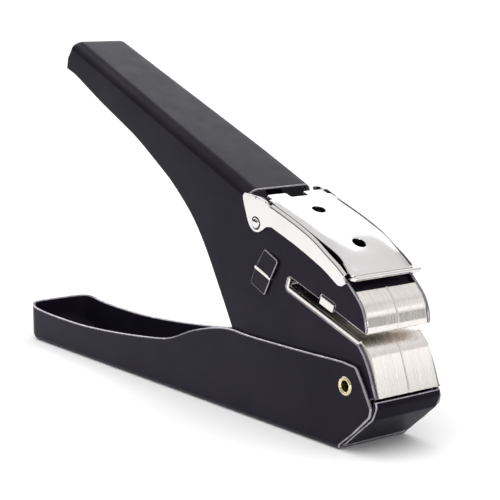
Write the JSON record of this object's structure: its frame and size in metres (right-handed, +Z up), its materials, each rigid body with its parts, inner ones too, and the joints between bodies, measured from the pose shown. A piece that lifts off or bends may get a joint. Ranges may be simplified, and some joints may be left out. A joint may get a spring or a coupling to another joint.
{
  "type": "hand paper punch",
  "caption": "Plier-type hand punch: folded steel frame handle hinged on a pan-shaped lever, nickel jaws, bright flip-up chip cover.",
  "frame": {"origin": "middle of the length and width, on the surface the flat lever stands on", "axes": "+X towards the nose, +Y across, +Z up"},
  "size_m": [0.2271, 0.0348, 0.1306],
  "materials": {
    "black_paint": "satin powder coat",
    "nickel": "brushed nickel plate",
    "chrome": "polished chrome plate",
    "rivet_brass": "polished",
    "tool_steel": "turned steel"
  },
  "bodies": {
    "lever": {"lever_pan": "black_paint", "nose_guard": "black_paint", "drive_bracket": "tool_steel", "drive_pin": "tool_steel", "floor_rivet_1": "tool_steel", "floor_rivet_2": "tool_steel", "floor_rivet_3": "tool_steel", "floor_rivet_4": "tool_steel", "pivot_rivet": "rivet_brass"},
    "frame": {"main_frame": "black_paint", "throat_liner": "nickel", "upper_nose_plate": "nickel", "die_plate": "nickel", "die_bush": "tool_steel", "chip_chute": "black_paint", "punch_guide": "tool_steel", "return_spring": "tool_steel", "pivot_sleeve": "tool_steel", "cover_pin": "chrome", "cover_spring": "black_paint"},
    "punch": {"punch": "tool_steel", "punch_collar": "tool_steel", "spring_seat": "tool_steel"},
    "cover": {"cover_frame": "chrome", "cover_plate": "chrome"}
  },
  "joints": [
    {"name": "handle_hinge", "type": "hinge", "parent": "lever", "child": "frame", "pos_m": [0.09975, 0, 0.0228], "axis": [0, -1, 0], "range_deg": [0, 16], "stiffness_Nm_per_rad": 3, "springref_deg": -14.32},
    {"name": "punch_slide", "type": "slide", "parent": "frame", "child": "punch", "axis": [0.319, 0, 0.9478], "range_m": [0, 0.0058], "deforming": ["return_spring"]},
    {"name": "cover_hinge", "type": "hinge", "parent": "frame", "child": "cover", "pos_m": [0.05115, 0, 0.0712], "axis": [0, -1, 0], "range_deg": [0, 60]}
  ],
  "couplings": [
    {"joint": "punch_slide", "follows": "handle_hinge", "m_per_rad": 0.0205}
  ]
}
